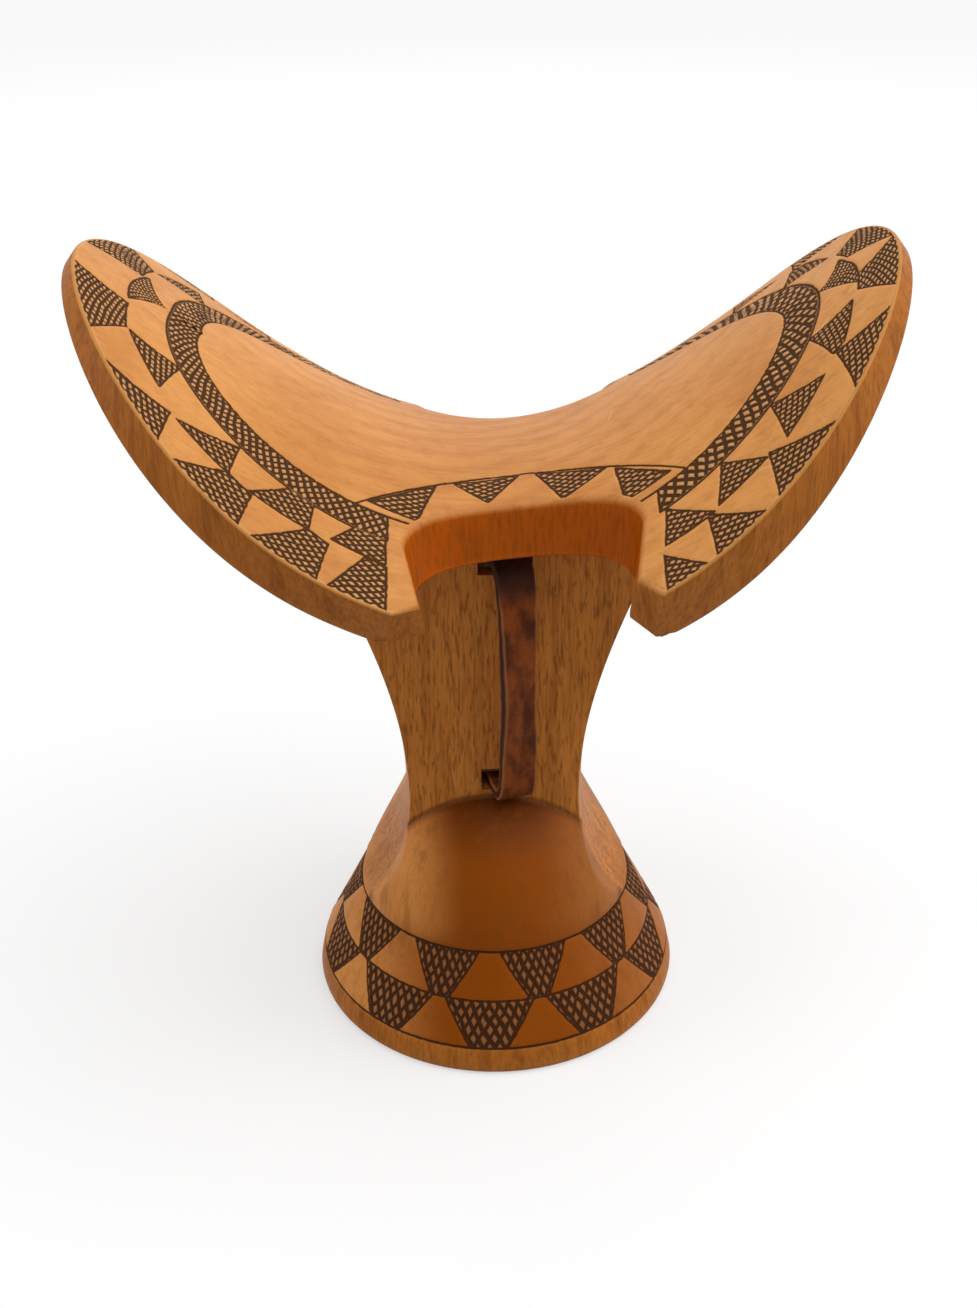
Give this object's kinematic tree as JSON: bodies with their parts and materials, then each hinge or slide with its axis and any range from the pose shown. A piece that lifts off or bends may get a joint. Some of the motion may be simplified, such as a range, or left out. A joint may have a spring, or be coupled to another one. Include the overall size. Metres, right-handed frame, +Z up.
{
  "type": "headrest stool",
  "caption": "Carved wooden headrest with a winged saddle on a flat-faced column and round bell foot, incised bands and a leather carrying strap.",
  "frame": {"origin": "middle of the foot's underside", "axes": "+Z up, -Y to the front face that carries the strap, +X to the right-hand wing"},
  "size_m": [0.17, 0.1076, 0.1837],
  "materials": {
    "carved_wood": "oiled, hand polished",
    "leather": "worn, matt",
    "wedge_wood": "raw"
  },
  "bodies": {
    "stool": {"carved_body": "carved_wood", "upper_wedge": "wedge_wood", "lower_wedge": "wedge_wood"},
    "strap": {"strap": "leather"}
  },
  "joints": [
    {"name": "strap_swing", "type": "hinge", "parent": "stool", "child": "strap", "pos_m": [0.003, -0.0115, 0.08975], "axis": [0, 0, 1], "range_deg": [-40, 10]}
  ]
}
